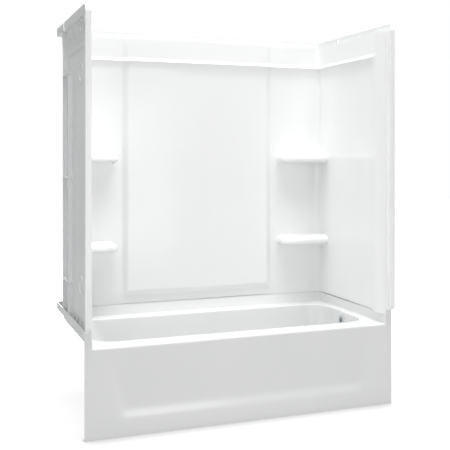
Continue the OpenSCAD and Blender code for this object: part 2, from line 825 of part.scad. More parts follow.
module overflow_elbow() {
    start = bath_t + gasket_t;
    back = pivot_out + arm_reach + body_r - elbow_wall + 1;
    color(black) difference() {
        union() {
            at_overflow() translate([0, 0, start]) {
                cylinder(r = overflow_hole_r + 8, h = 4);
                cylinder(r = overflow_hole_r + 2, h = back - start);
            }
            translate([tube_x, well_mid, elbow_foot]) cylinder(r = body_r, h = overflow_h - elbow_foot);
            translate([tube_x, well_mid, elbow_foot]) cylinder(r = collar_r, h = 14);
        }
        difference() {
            at_overflow() translate([0, 0, start - 1])
                cylinder(r = overflow_hole_r - 1.5, h = back - start + 1 - elbow_wall);
            // Two lugs in the mouth take the plate's screws
            at_overflow() for (side = [-1, 1]) {
                translate([0, side * screw_y, start]) cylinder(r = screw_r + 3, h = 14);
                translate([-4, side > 0 ? screw_y : -overflow_hole_r, start])
                    cube([8, overflow_hole_r - screw_y, 14]);
            }
        }
        at_overflow() for (side = [-1, 1])
            translate([0, side * screw_y, start - 1]) cylinder(r = screw_r + 0.05, h = 14);
        translate([tube_x, well_mid, elbow_foot - 1]) cylinder(r = socket_r, h = 26);
        translate([tube_x, well_mid, elbow_foot]) cylinder(r = tube_bore, h = overflow_h - elbow_foot);
    }
}

// A slip nut: its collar clears the socket, its far end closes on the tube
module slip_nut() {
    difference() {
        cylinder(r = nut_r, h = nut_h, $fn = 8);
        translate([0, 0, -1]) cylinder(r = collar_r + 0.3, h = nut_h - 3);
        cylinder(r = tube_r + 0.35, h = nut_h + 1);
    }
}

module slip_washer() {
    difference() {
        cylinder(r1 = collar_r - 0.6, r2 = collar_r - 0.2, h = washer_h);
        translate([0, 0, -1]) cylinder(r = tube_r + 0.05, h = washer_h + 2);
    }
}

module at_elbow_joint() {
    translate([tube_x, well_mid, elbow_foot]) mirror([0, 0, 1]) children();
}

module at_tee_top() {
    translate([tube_x, well_mid, tee_top]) children();
}

side_socket_x = tube_x - body_r - 30;

module at_tee_side() {
    translate([side_socket_x, well_mid, outlet_h]) rotate([0, -90, 0]) children();
}

module elbow_nut() {
    color(black) at_elbow_joint() translate([0, 0, washer_h - nut_h + 4]) slip_nut();
}

module elbow_washer() {
    color("gray") at_elbow_joint() slip_washer();
}

module tee_top_nut() {
    color(black) at_tee_top() translate([0, 0, washer_h - nut_h + 4]) slip_nut();
}

module tee_top_washer() {
    color("gray") at_tee_top() slip_washer();
}

module tee_side_nut() {
    color(black) at_tee_side() translate([0, 0, washer_h - nut_h + 4]) slip_nut();
}

module tee_side_washer() {
    color("gray") at_tee_side() slip_washer();
}

module overflow_tube() {
    low = tee_top - 24;
    high = elbow_foot + 24;
    color("white") translate([tube_x, well_mid, low]) difference() {
        cylinder(r = tube_r, h = high - low);
        translate([0, 0, -1]) cylinder(r = tube_bore, h = high - low + 2);
    }
}

module waste_tee() {
    color(black) difference() {
        union() {
            translate([tube_x, well_mid, tee_foot]) cylinder(r = body_r, h = tee_top - tee_foot);
            translate([tube_x, well_mid, tee_foot]) cylinder(r = collar_r, h = 14);
            translate([tube_x, well_mid, tee_top - 14]) cylinder(r = collar_r, h = 14);
            translate([side_socket_x, well_mid, outlet_h]) rotate([0, 90, 0])
                cylinder(r = body_r, h = tube_x - side_socket_x);
            translate([side_socket_x, well_mid, outlet_h]) rotate([0, 90, 0])
                cylinder(r = collar_r, h = 14);
        }
        // Top socket, passage, seat and outlet socket
        translate([tube_x, well_mid, tee_top - 25]) cylinder(r = socket_r, h = 26);
        translate([tube_x, well_mid, seat_h]) cylinder(r = tube_bore, h = tee_top - seat_h);
        translate([tube_x, well_mid, tee_foot]) cylinder(r = seat_r, h = seat_h);
        translate([tube_x, well_mid, tee_foot - 1]) cylinder(r = socket_r, h = seat_h - 5 - tee_foot + 1);
        // Side inlet
        translate([side_socket_x - 1, well_mid, outlet_h]) rotate([0, 90, 0])
            cylinder(r = socket_r, h = 24);
        translate([side_socket_x, well_mid, outlet_h]) rotate([0, 90, 0])
            cylinder(r = tube_bore, h = tube_x - side_socket_x);
    }
}

shoe_r = 27;
shoe_socket = 18;
flange_rim_r = 36;
flange_tube_r = 20.3;
flange_tube_len = 26;
strainer_r = 17.4;

module shoe_tube() {
    low = drain_x + shoe_r - 4;
    high = side_socket_x + 22;
    color("white") translate([low, well_mid, outlet_h]) rotate([0, 90, 0]) difference() {
        cylinder(r = tube_r, h = high - low);
        translate([0, 0, -1]) cylinder(r = tube_bore, h = high - low + 2);
    }
}

module drain_shoe() {
    top = floor_h - bath_t - shoe_gasket_t;
    foot = outlet_h - body_r;
    color(black) difference() {
        union() {
            translate([drain_x, well_mid, foot]) cylinder(r = shoe_r, h = top - foot);
            translate([drain_x, well_mid, top - 5]) cylinder(r = flange_rim_r + 1, h = 5);
            translate([drain_x, well_mid, outlet_h]) rotate([0, 90, 0])
                cylinder(r = body_r, h = shoe_r + shoe_socket);
        }
        translate([drain_x, well_mid, foot + 4]) cylinder(r = flange_tube_r + 0.1, h = top);
        translate([drain_x, well_mid, outlet_h]) rotate([0, 90, 0])
            cylinder(r = tube_bore, h = shoe_r + shoe_socket + 1);
        translate([drain_x + shoe_r - 4.2, well_mid, outlet_h]) rotate([0, 90, 0])
            cylinder(r = socket_r, h = shoe_socket + 10);
    }
}

module shoe_gasket() {
    color(black) translate([drain_x, well_mid, floor_h - bath_t - shoe_gasket_t]) difference() {
        cylinder(r = flange_rim_r, h = shoe_gasket_t);
        translate([0, 0, -1]) cylinder(r = flange_tube_r + 0.8, h = shoe_gasket_t + 2);
    }
}

// The drain flange: a dished rim on the floor and a tube that screws into the shoe
module drain_flange() {
    tube_len = flange_tube_len;
    color(chrome) translate([drain_x, well_mid, floor_h]) difference() {
        union() {
            cylinder(r1 = flange_rim_r, r2 = flange_rim_r - 3, h = 3);
            translate([0, 0, -tube_len]) cylinder(r = flange_tube_r, h = tube_len + eps);
        }
        translate([0, 0, 1]) cylinder(r1 = flange_tube_r - 2, r2 = flange_rim_r - 5, h = 2 + eps);
        difference() {
            translate([0, 0, -tube_len - 1]) cylinder(r = flange_tube_r - 2, h = tube_len + 2 + eps);
            // Crossbars with a boss for the strainer's screw
            translate([0, 0, -9]) {
                cube([60, 4, 6], center = true);
                cube([4, 60, 6], center = true);
                translate([0, 0, -3]) cylinder(r = 5, h = 6);
            }
        }
        translate([0, 0, -20]) cylinder(r = screw_r + 0.05, h = 20);
    }
}

// A perforated strainer over the crossbars
module strainer() {
    color(chrome) translate([drain_x, well_mid, floor_h - 6]) difference() {
        union() {
            cylinder(r = strainer_r, h = 2);
            translate([0, 0, 0]) cylinder(r = 6, h = 2.5);
        }
        translate([0, 0, -1]) cylinder(r = screw_r + 0.3, h = 6);
        for (a = [0 : 60 : 300]) rotate([0, 0, a]) translate([9.4, 0, -1]) cylinder(r = 2.3, h = 4, $fn = 24);
        for (a = [0 : 30 : 330]) rotate([0, 0, a + 15]) translate([14, 0, -1]) cylinder(r = 1.8, h = 4, $fn = 24);
    }
}

module strainer_screw() {
    color(chrome) translate([drain_x, well_mid, floor_h - 3.5]) difference() {
        union() {
            cylinder(r1 = 4.5, r2 = 3.4, h = 2.2);
            translate([0, 0, -8.5]) cylinder(r = screw_r, h = 8.6);
        }
        translate([0, 0, 2]) cube([20, 1, 1.8], center = true);
    }
}

bath();
support_board();
support_runners();
back_wall();
left_end_wall();
right_end_wall();
left_wall_rivets();
right_wall_rivets();
overflow_plate();
plate_screws();
lever_bracket();
hinge_pin();
trip_lever();
link_yoke();
yoke_pin();
link_rod();
rod_locknut();
plunger();
overflow_gasket();
overflow_elbow();
elbow_nut();
elbow_washer();
overflow_tube();
tee_top_nut();
tee_top_washer();
waste_tee();
tee_side_nut();
tee_side_washer();
shoe_tube();
drain_shoe();
shoe_gasket();
drain_flange();
strainer();
strainer_screw();
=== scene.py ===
import json
import math

import bmesh
import bpy
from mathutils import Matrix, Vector

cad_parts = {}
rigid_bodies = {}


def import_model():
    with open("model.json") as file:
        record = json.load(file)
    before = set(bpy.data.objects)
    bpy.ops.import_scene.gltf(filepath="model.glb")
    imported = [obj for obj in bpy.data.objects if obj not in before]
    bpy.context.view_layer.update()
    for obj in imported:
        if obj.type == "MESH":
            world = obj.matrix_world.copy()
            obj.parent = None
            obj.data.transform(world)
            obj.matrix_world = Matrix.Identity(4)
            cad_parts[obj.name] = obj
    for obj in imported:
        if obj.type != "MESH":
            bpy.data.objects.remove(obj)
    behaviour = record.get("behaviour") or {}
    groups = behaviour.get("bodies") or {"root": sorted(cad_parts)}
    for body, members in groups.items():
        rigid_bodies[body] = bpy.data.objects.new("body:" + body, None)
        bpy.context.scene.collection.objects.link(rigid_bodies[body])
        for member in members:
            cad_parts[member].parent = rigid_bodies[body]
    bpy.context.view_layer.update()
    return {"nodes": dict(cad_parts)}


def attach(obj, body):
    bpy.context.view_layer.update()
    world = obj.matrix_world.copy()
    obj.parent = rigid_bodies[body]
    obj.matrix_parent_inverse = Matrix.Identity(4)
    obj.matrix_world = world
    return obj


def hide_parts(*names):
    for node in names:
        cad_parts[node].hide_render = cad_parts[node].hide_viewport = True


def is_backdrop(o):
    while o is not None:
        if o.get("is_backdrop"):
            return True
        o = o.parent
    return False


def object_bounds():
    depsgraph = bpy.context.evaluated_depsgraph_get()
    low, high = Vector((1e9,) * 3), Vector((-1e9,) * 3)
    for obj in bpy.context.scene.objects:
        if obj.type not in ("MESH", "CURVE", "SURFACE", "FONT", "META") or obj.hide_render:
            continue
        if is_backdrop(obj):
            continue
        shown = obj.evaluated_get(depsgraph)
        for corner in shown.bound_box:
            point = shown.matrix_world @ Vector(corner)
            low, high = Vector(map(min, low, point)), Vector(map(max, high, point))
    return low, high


bpy.ops.object.select_all(action="SELECT")
bpy.ops.object.delete()
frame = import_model()

# Bath
# One moulding of glass-filled resin with a white gloss face: the well, the flat rim, the ledge
# that carries the walls, the nailing flange and the apron with its shallow recess. It is pressed
# in a heated tool, so every edge has a soft radius; its back is duller and slightly grey.
half_width, apron_y, back_y = 0.762, -0.365, 0.397
rim_z, ledge_z, flange_z = 0.395, 0.442, 0.472
skin = 0.005
riser_foot_x, riser_top_x, post_x = 0.729, 0.731, 0.733
riser_foot_y, riser_top_y = 0.327, 0.353
well_left, well_right, well_front, well_back = -0.692, 0.689, -0.255, 0.245
well_round, mouth_round, floor_round = 0.110, 0.006, 0.060
floor_z = 0.092
back_lean, side_lean = 0.1288, 0.024
drain_x, well_y = 0.568, -0.005
drain_round, overflow_round, overflow_z = 0.026, 0.030, 0.340
foot_turn, corner_round, fold_round = 0.026, 0.040, 0.009


def alone(obj):
    """Makes this the only selected object, and the active one."""
    bpy.ops.object.select_all(action="DESELECT")
    obj.select_set(True)
    bpy.context.view_layer.objects.active = obj


def new_plane(name, low, high, z):
    """A flat sheet between two corners, left in edit mode."""
    bpy.ops.object.select_all(action="DESELECT")
    middle = ((low[0] + high[0]) / 2, (low[1] + high[1]) / 2, z)
    bpy.ops.mesh.primitive_plane_add(size=1, location=middle)
    obj = bpy.context.object
    obj.name = name
    obj.scale = (high[0] - low[0], high[1] - low[1], 1)
    bpy.ops.object.transform_apply(location=True, rotation=True, scale=True)
    bpy.ops.object.mode_set(mode="EDIT")
    return obj


def pick_all():
    bpy.ops.mesh.select_all(action="SELECT")


def pick(kind, test):
    """Selects the vertices, edges or faces whose middle, and normal for a face, pass the test."""
    bpy.ops.mesh.select_mode(type=kind)
    bpy.ops.mesh.select_all(action="DESELECT")
    shape = bmesh.from_edit_mesh(bpy.context.object.data)
    parts = {"VERT": shape.verts, "EDGE": shape.edges, "FACE": shape.faces}[kind]
    for part in parts:
        if kind == "VERT":
            hit = test(part.co)
        elif kind == "EDGE":
            hit = test(part.verts[0].co, part.verts[1].co)
        else:
            hit = test(part.calc_center_median(), part.normal)
        if hit:
            part.select_set(True)
    bmesh.update_edit_mesh(bpy.context.object.data)


def near(a, b, tolerance=1e-4):
    return abs(a - b) < tolerance


def both(a, b, axis, value, tolerance=1e-4):
    """True where the two ends of an edge have this value on the axis."""
    return near(getattr(a, axis), value, tolerance) and near(getattr(b, axis), value, tolerance)


def move(x=0, y=0, z=0):
    bpy.ops.transform.translate(value=(x, y, z))


def extrude(x=0, y=0, z=0):
    bpy.ops.mesh.extrude_region_move(TRANSFORM_OT_translate={"value": (x, y, z)})


def cut(axis, value):
    """Cuts the whole mesh along the plane where the axis has this value."""
    place, normal = [0, 0, 0], [0, 0, 0]
    place["XYZ".index(axis)], normal["XYZ".index(axis)] = value, 1
    pick_all()
    bpy.ops.mesh.bisect(plane_co=place, plane_no=normal)


def join_to(body, others):
    alone(body)
    for obj in others:
        obj.select_set(True)
    bpy.ops.object.join()


def finish_mesh(obj, *modifiers, angle=35):
    """Leaves edit mode, applies the modifiers, and smooths all but sharp edges."""
    if bpy.context.object.mode == "EDIT":
        bpy.ops.object.mode_set(mode="OBJECT")
    alone(obj)
    for kind, settings in modifiers:
        modifier = obj.modifiers.new(kind.title(), kind)
        for key, value in settings.items():
            setattr(modifier, key, value)
        bpy.ops.object.modifier_apply(modifier=modifier.name)
    bpy.ops.object.shade_smooth_by_angle(angle=math.radians(angle))


def cut_out(obj, tool):
    """Cuts the tool's shape out of a piece and drops the tool."""
    finish_mesh(obj, ("BOOLEAN", {"operation": "DIFFERENCE", "solver": "EXACT", "object": tool}))
    bpy.data.objects.remove(tool)


def drill_hole(obj, radius, length, place, turn=(0, 0, 0)):
    bpy.ops.object.select_all(action="DESELECT")
    bpy.ops.mesh.primitive_cylinder_add(vertices=64, radius=radius, depth=length, location=place,
                                        rotation=turn)
    cut_out(obj, bpy.context.object)


def quarter_turn(steps):
    """The angles at which each step of a quarter circle starts and ends."""
    return [(math.pi / 2 * k / steps, math.pi / 2 * (k + 1) / steps) for k in range(steps)]


# The well is a rounded sheet pressed down by insets, from the mouth's soft edge to the floor
well = new_plane("well", (well_left - mouth_round, well_front - mouth_round),
                 (well_right + mouth_round, well_back + mouth_round), rim_z)
pick_all()
bpy.ops.mesh.bevel(offset=well_round + mouth_round, segments=16, affect="VERTICES")
pick("FACE", lambda c, n: True)
for a, b in quarter_turn(6):
    bpy.ops.mesh.inset(thickness=mouth_round * (math.sin(b) - math.sin(a)),
                       depth=-mouth_round * (math.cos(a) - math.cos(b)))
# The drain end stands upright and the backrest leans
wall_head, wall_foot, lean_steps = rim_z - mouth_round, floor_z + floor_round, 4
for step in range(lean_steps):
    bpy.ops.mesh.inset(thickness=side_lean / lean_steps, depth=-(wall_head - wall_foot) / lean_steps)
    low = wall_head - (step + 1) * (wall_head - wall_foot) / lean_steps
    pick("VERT", lambda c: near(c.z, low) and c.x > 0.3)
    move(x=side_lean / lean_steps)
    pick("VERT", lambda c: near(c.z, low) and c.x < 0)
    move(x=(back_lean - side_lean) / lean_steps)
    pick("FACE", lambda c, n: near(c.z, low) and abs(n.z) > 0.9)
for a, b in quarter_turn(10):
    bpy.ops.mesh.inset(thickness=floor_round * (math.cos(a) - math.cos(b)),
                       depth=-floor_round * (math.sin(b) - math.sin(a)))
bpy.ops.object.mode_set(mode="OBJECT")

# The ledge stands on three sides of the rim, with a sloping riser
bath = new_plane("bath_moulding", (-half_width, apron_y), (half_width, back_y), rim_z)
for x in (-riser_foot_x, riser_foot_x, -post_x, post_x):
    cut("X", x)
cut("Y", riser_foot_y)
pick("FACE", lambda c, n: abs(c.x) > riser_foot_x or c.y > riser_foot_y)
extrude(z=ledge_z - rim_z)
pick("FACE", lambda c, n: c.z < ledge_z - 0.001 and (near(abs(c.x), half_width) or near(c.y, back_y)))
bpy.ops.mesh.delete(type="FACE")
for side in (-1, 1):
    pick("VERT", lambda c: near(c.z, ledge_z) and near(c.x, side * riser_foot_x))
    move(x=side * (riser_top_x - riser_foot_x))
pick("VERT", lambda c: near(c.z, ledge_z) and near(c.y, riser_foot_y))
move(y=riser_top_y - riser_foot_y)
# The nailing flange stands one skin inside the outer planes
flange_x, flange_y = half_width - skin, back_y - skin
cut("Y", apron_y + skin)
for side in (-1, 1):
    pick("VERT", lambda c: near(c.z, ledge_z) and near(c.x, side * half_width) and c.y > apron_y + 0.001)
    move(x=-side * skin)
pick("VERT", lambda c: near(c.z, ledge_z) and near(c.y, back_y))
move(y=-skin)
pick("EDGE", lambda a, b: both(a, b, "z", ledge_z) and not near(a.y + b.y, 2 * apron_y)
     and (both(a, b, "y", flange_y) or near(abs(a.x), flange_x) and near(a.x, b.x)))
extrude(z=flange_z - ledge_z)
# Posts at both ends of the apron, the apron itself and its foot, which turns in
pick("EDGE", lambda a, b: both(a, b, "z", ledge_z) and both(a, b, "y", apron_y)
     and min(abs(a.x), abs(b.x)) > post_x - 0.001)
extrude(z=flange_z - ledge_z)
pick("EDGE", lambda a, b: both(a, b, "z", rim_z) and both(a, b, "y", apron_y))
extrude(z=-rim_z)
pick("EDGE", lambda a, b: both(a, b, "z", 0))
extrude(y=foot_turn)
# The ledge's inner back corners and the front fold get their radii
pick("EDGE", lambda a, b: near(min(a.z, b.z), rim_z) and near(max(a.z, b.z), ledge_z)
     and min(a.y, b.y) > riser_foot_y - 0.01 and max(abs(a.x), abs(b.x)) < post_x)
bpy.ops.mesh.bevel(offset=corner_round, segments=8, affect="EDGES")
pick("EDGE", lambda a, b: both(a, b, "z", rim_z) and both(a, b, "y", apron_y)
     and max(abs(a.x), abs(b.x)) < riser_foot_x + 0.001)
bpy.ops.mesh.bevel(offset=fold_round, segments=6, affect="EDGES")
# The apron's face is cut fine enough to press the recess into it
fold_z = rim_z - fold_round
pick("EDGE", lambda a, b: both(a, b, "y", apron_y) and near(a.z, b.z)
     and (near(a.z, 0) or near(a.z, fold_z, 0.002))
     and near(abs(a.x - b.x), 2 * riser_foot_x, 0.01))
bpy.ops.mesh.subdivide(number_cuts=90)
pick("EDGE", lambda a, b: both(a, b, "y", apron_y) and near(a.x, b.x)
     and abs(a.x) < riser_foot_x + 0.001 and abs(a.z - b.z) > 0.3)
bpy.ops.mesh.subdivide(number_cuts=44)
recess_foot, recess_top, recess_half = 0.084, 0.335, 0.605
foot_slope, top_slope, side_slope, side_flare = 0.34, 0.045, 0.5, 0.2
side_blend, fade_blend, rim_blend = 0.016, 0.006, 0.004


def soft_least(a, b, reach):
    """The lesser of two values, with a rounded change from one to the other."""
    h = max(reach - abs(a - b), 0) / reach
    return min(a, b) - h * h * reach / 4


def recess_depth(x, z):
    """How deep the recess is: a steep foot, sides that flare upwards and a long fade to the top."""
    foot = (z - recess_foot) * foot_slope
    fade = (recess_top - z) * top_slope
    side = (recess_half + (z - recess_foot) * side_flare - abs(x)) * side_slope
    deep = soft_least(soft_least(foot, side, side_blend), fade, fade_blend)
    return -soft_least(-deep, 0, rim_blend)


shape = bmesh.from_edit_mesh(bath.data)
for vert in shape.verts:
    x, z = vert.co.x, vert.co.z
    if near(vert.co.y, apron_y) and abs(x) < riser_foot_x - 0.001 and 0.01 < z < fold_z - 0.01:
        vert.co.y += recess_depth(x, z)
bmesh.update_edit_mesh(bath.data)
# The flat rim is filled between the fold, the riser and the well's mouth
pick("FACE", lambda c, n: near(c.z, rim_z, 0.002) and abs(n.z) > 0.99)
bpy.ops.mesh.delete(type="ONLY_FACE")
bpy.ops.object.mode_set(mode="OBJECT")
join_to(bath, [well])
bpy.ops.object.mode_set(mode="EDIT")
bpy.ops.mesh.select_mode(type="EDGE")
bpy.ops.mesh.select_all(action="DESELECT")
shape = bmesh.from_edit_mesh(bath.data)
for edge in shape.edges:
    if len(edge.link_faces) == 1 and all(near(v.co.z, rim_z, 0.0005) for v in edge.verts):
        edge.select_set(True)
bmesh.update_edit_mesh(bath.data)
bpy.ops.mesh.fill(use_beauty=True)
pick_all()
bpy.ops.mesh.remove_doubles(threshold=0.00005)
bpy.ops.mesh.normals_make_consistent(inside=False)
bpy.ops.object.mode_set(mode="OBJECT")
if sum(p.normal.z * p.area for p in bath.data.polygons if near(p.center.z, rim_z, 0.002)) < 0:
    bath.data.flip_normals()
# The posts' faces look forward, like the apron's
bpy.ops.object.mode_set(mode="EDIT")
pick("FACE", lambda c, n: c.z > ledge_z and near(c.y, apron_y) and n.y > 0)
bpy.ops.mesh.flip_normals()


def linear(code):
    """An sRGB hex colour as linear light."""
    parts = [int(code[k:k + 2], 16) / 255 for k in (1, 3, 5)]
    return tuple(p / 12.92 if p < 0.04045 else ((p + 0.055) / 1.055) ** 2.4 for p in parts) + (1,)


def new_material(name):
    material = bpy.data.materials.new(name)
    material.use_nodes = True
    return material, material.node_tree.nodes["Principled BSDF"]


def add_node(tree, kind, settings=(), inputs=(), links=()):
    """Adds a node, sets its properties and sockets, and links sockets from other nodes' outputs."""
    made = tree.nodes.new(kind)
    for key, value in dict(settings).items():
        setattr(made, key, value)
    for key, value in dict(inputs).items():
        made.inputs[key].default_value = value
    for key, source in dict(links).items():
        tree.links.new(source, made.inputs[key])
    return made


def moulded(name, light, dark, roughness, ior, grain_mm, bump, gloss_spread):
    """A moulded surface: two near colours mottled over a slow noise, and a fine grain in the bump."""
    material, shader = new_material(name)
    tree = material.node_tree
    place = add_node(tree, "ShaderNodeTexCoord").outputs["Object"]
    slow = add_node(tree, "ShaderNodeTexNoise", inputs={"Scale": 3.0, "Detail": 2.0},
                    links={"Vector": place}).outputs["Fac"]
    mix = add_node(tree, "ShaderNodeMix", {"data_type": "RGBA"},
                   {6: linear(light), 7: linear(dark)}, {0: slow})
    tree.links.new(mix.outputs[2], shader.inputs["Base Color"])
    # A Map Range node reads from sockets 1 to 2 and gives 3 to 4
    spread = add_node(tree, "ShaderNodeMapRange",
                      inputs={3: roughness - gloss_spread, 4: roughness + gloss_spread},
                      links={0: slow})
    tree.links.new(spread.outputs[0], shader.inputs["Roughness"])
    grain = add_node(tree, "ShaderNodeTexNoise", inputs={"Scale": 1000 / grain_mm, "Detail": 3.0},
                     links={"Vector": place}).outputs["Fac"]
    rise = add_node(tree, "ShaderNodeBump",
                    inputs={"Strength": bump, "Distance": grain_mm / 1000 * 0.02},
                    links={"Height": grain})
    tree.links.new(rise.outputs["Normal"], shader.inputs["Normal"])
    shader.inputs["IOR"].default_value = ior
    return material


# A gloss face as deep as gel coat; its colour is a shade greyer than the walls' white, painted shade that
# stands in for the dimmer light on the bath. The glass-filled back has no gloss face, so it is dull and a
# little rough
bath_gloss_painted_shade = moulded("gloss_faced_bath_painted_shade", "#E2E3E2", "#DEDFDF", 0.13, 1.49, 9.0, 0.25, 0.03)
raw_back = moulded("raw_moulding_back", "#EFF0F0", "#E8EAEB", 0.55, 1.5, 3.0, 0.6, 0.08)


def give_skin(obj, *faced):
    """Thickens a sheet inwards; the second material goes on its back."""
    for material in faced:
        obj.data.materials.append(material)
    finish_mesh(obj, ("SOLIDIFY", {"thickness": skin, "offset": -1, "material_offset": 1}))


give_skin(bath, bath_gloss_painted_shade, raw_back)


def bar(name, low, high, soft):
    """A rib or strip: its footprint is pressed up and all its edges are softened."""
    obj = new_plane(name, low[:2], high[:2], low[2])
    pick("FACE", lambda c, n: True)
    extrude(z=high[2] - low[2])
    pick_all()
    bpy.ops.mesh.normals_make_consistent(inside=False)
    bpy.ops.mesh.bevel(offset=soft, segments=2, affect="EDGES")
    bpy.ops.object.mode_set(mode="OBJECT")
    return obj


# A lower skirt stiffens the flange along the front two thirds of each end
skirt_front, skirt_end, skirt_foot = apron_y + 0.006, 0.168, ledge_z - 0.011
skirts = [bar("skirt", (x, skirt_front, skirt_foot), (x + skin, skirt_end, ledge_z - 0.001), 0.001)
          for x in (-half_width, half_width - skin)]
for skirt in skirts:
    skirt.data.materials.append(raw_back)
join_to(bath, skirts)
drill_hole(bath, drain_round, 0.04, (drain_x, well_y, floor_z))
drill_hole(bath, overflow_round, 0.04, (well_right, well_y, overflow_z), (0, math.pi / 2, 0))
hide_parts("bath")
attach(bath, "fixture")

# Back wall
# One thin moulding that wraps both back corners: a coved lip and header, a raised centre panel,
# a top ledge with an upright flange, seam flanges, an undercut foot. It is moulded, so its
# corners are large radii; it stands on the bath's ledge and is nailed through the top flange.
wall_y, wall_x, seam_y, seam_x = 0.355, 0.734, 0.238, 0.7563
wall_round = 0.032
skin_top, wall_top = 1.845, 1.880
lip_z, lip_proud, header_proud = 1.727, 0.014, 0.003
lap, notch = 0.048, 0.025


def flatten(axis, value):
    """Lays the selection on the plane where the axis has this value."""
    centre, size = [0, 0, 0], [1, 1, 1]
    centre["XYZ".index(axis)], size["XYZ".index(axis)] = value, 0
    bpy.ops.transform.resize(value=size, center_override=centre)


def upright_strip(name, x, low_y, high_y, low_z, high_z):
    """A flat sheet that stands on edge across X, left in edit mode."""
    obj = new_plane(name, (0, low_y), (high_z - low_z, high_y), 0)
    pick_all()
    bpy.ops.transform.rotate(value=math.pi / 2, orient_axis="Y", center_override=(0, 0, 0))
    pick_all()
    corners = bmesh.from_edit_mesh(obj.data).verts
    middle = [sum(v.co[k] for v in corners) / 4 for k in range(3)]
    move(x - middle[0], 0, (low_z + high_z) / 2 - middle[2])
    return obj


def wall_profile():
    """Height and reach into the room: an undercut foot, a cove under the lip, its nose, a slope."""
    cove_steps, cove_drop, cove_height = 10, 0.003, 0.080
    levels = [(ledge_z, -0.0028), (ledge_z + 0.0030, -0.0024), (ledge_z + 0.0050, -0.0008),
              (ledge_z + 0.0080, 0)]
    for k in range(cove_steps):
        part = k / cove_steps
        levels.append((lip_z - cove_drop - cove_height * (1 - part), lip_proud * part ** 2.4))
    levels += [(lip_z - 0.0036, lip_proud - 0.0016), (lip_z - 0.002, lip_proud - 0.0003),
               (lip_z, lip_proud), (lip_z + 0.0025, lip_proud - 0.0008),
               (lip_z + 0.0145, header_proud + 0.0012), (lip_z + 0.017, header_proud + 0.0003),
               (lip_z + 0.020, header_proud)]
    return levels


def shape_levels(behind):
    """Cuts the wall at each level of its profile and moves what stands behind this Y by its reach."""
    for z, reach in wall_profile():
        cut("Z", z)
    for z, reach in wall_profile() + [(skin_top, header_proud)]:
        pick("VERT", lambda c: near(c.z, z) and c.y > behind)
        move(x=reach)


# The left side's section is spun round one corner, drawn across the back and spun again
back_wall = upright_strip("back_wall_moulding", -wall_x, seam_y, wall_y - wall_round, ledge_z, skin_top)
shape_levels(apron_y)
corner_y, corner_x = wall_y - wall_round, wall_x - wall_round
pick("EDGE", lambda a, b: both(a, b, "y", corner_y))
bpy.ops.mesh.spin(steps=12, angle=math.pi / 2, center=(-corner_x, corner_y, 0), axis=(0, 0, 1))
extrude(x=2 * corner_x)
bpy.ops.mesh.spin(steps=12, angle=math.pi / 2, center=(corner_x, corner_y, 0), axis=(0, 0, 1))
extrude(y=seam_y - corner_y)
# The raised centre panel, with its sloping sides and foot
panel_half, panel_step, panel_foot, panel_proud, panel_soft = 0.425, 0.027, 0.485, 0.016, 0.007
face_half, face_foot = panel_half - panel_step, panel_foot + panel_step
for x in (-panel_half, -face_half, face_half, panel_half):
    cut("X", x)
for z in (panel_foot, face_foot):
    cut("Z", z)
pick("VERT", lambda c: abs(c.x) < face_half + 0.001 and c.z > face_foot - 0.001)
move(y=-panel_proud)


def panel_edge(a, b):
    """The creases where the panel's slopes start and end, on both sides and along the foot."""
    reach = max(abs(a.x), abs(b.x))
    if reach > panel_half + 0.001:
        return False
    if near(a.x, b.x):
        return min(a.z, b.z) > panel_foot - 0.001
    low = max(a.z, b.z) < face_foot + 0.001
    return near(a.z, b.z) and low and (near(a.z, panel_foot) or reach < face_half + 0.001)


pick("EDGE", panel_edge)
bpy.ops.mesh.bevel(offset=panel_soft, segments=4, affect="EDGES")
# The seam flanges turn out, then the top ledge, and the upright flange stands round it
for side in (-1, 1):
    pick("EDGE", lambda a, b: both(a, b, "y", seam_y) and a.x * side > 0
         and min(a.z, b.z) > ledge_z - 0.001)
    extrude(x=side * (seam_x - wall_x))
    pick("VERT", lambda c: near(c.y, seam_y) and c.x * side > wall_x + 0.001)
    flatten("X", side * seam_x)
pick("EDGE", lambda a, b: both(a, b, "z", skin_top) and max(abs(a.x), abs(b.x)) < wall_x)
extrude()
# The ledge is spread first, and then laid on the flange's planes
bpy.ops.transform.resize(value=(1.035, 1.3, 1), center_override=(0, seam_y, 0))
for side in (-1, 1):
    pick("VERT", lambda c: near(c.z, skin_top) and c.x * side > wall_x + 0.001
         and c.x * side - flange_x > c.y - flange_y - 0.0005)
    flatten("X", side * flange_x)
pick("VERT", lambda c: near(c.z, skin_top) and c.y > wall_y + 0.001
     and abs(c.x) - flange_x < c.y - flange_y + 0.0005)
flatten("Y", flange_y)
shape = bmesh.from_edit_mesh(back_wall.data)
end_y = max(v.co.y for v in shape.verts if near(v.co.x, flange_x) and near(v.co.z, skin_top))
pick("VERT", lambda c: near(abs(c.x), flange_x) and near(c.z, skin_top) and c.y > end_y - 0.0005)
flatten("Y", flange_y)
pick("EDGE", lambda a, b: both(a, b, "z", skin_top)
     and (both(a, b, "y", flange_y) or near(abs(a.x), flange_x) and near(a.x, b.x)))
extrude(z=wall_top - skin_top)
# The flange laps forward over the end walls' ledge
pick("EDGE", lambda a, b: both(a, b, "y", seam_y) and near(abs(a.x), flange_x)
     and max(a.z, b.z) > skin_top + 0.001)
extrude(y=-lap)
pick_all()
bpy.ops.mesh.remove_doubles(threshold=0.00005)
bpy.ops.object.mode_set(mode="OBJECT")
if sum(p.normal.y * p.area for p in back_wall.data.polygons) > 0:
    back_wall.data.flip_normals()
# The walls' gloss face is nearly pure white; the nailing flange is dull, and its greyer colour is painted
# shade on the top band
gloss_white = moulded("gloss_faced_moulding", "#F2F3F2", "#EDEEEE", 0.13, 1.49, 9.0, 0.25, 0.03)
flange_painted_shade = moulded("flange_dull_painted_shade", "#DCDEDE", "#D6D8D8", 0.45, 1.5, 4.0, 0.4, 0.06)
give_skin(back_wall, gloss_white, raw_back)


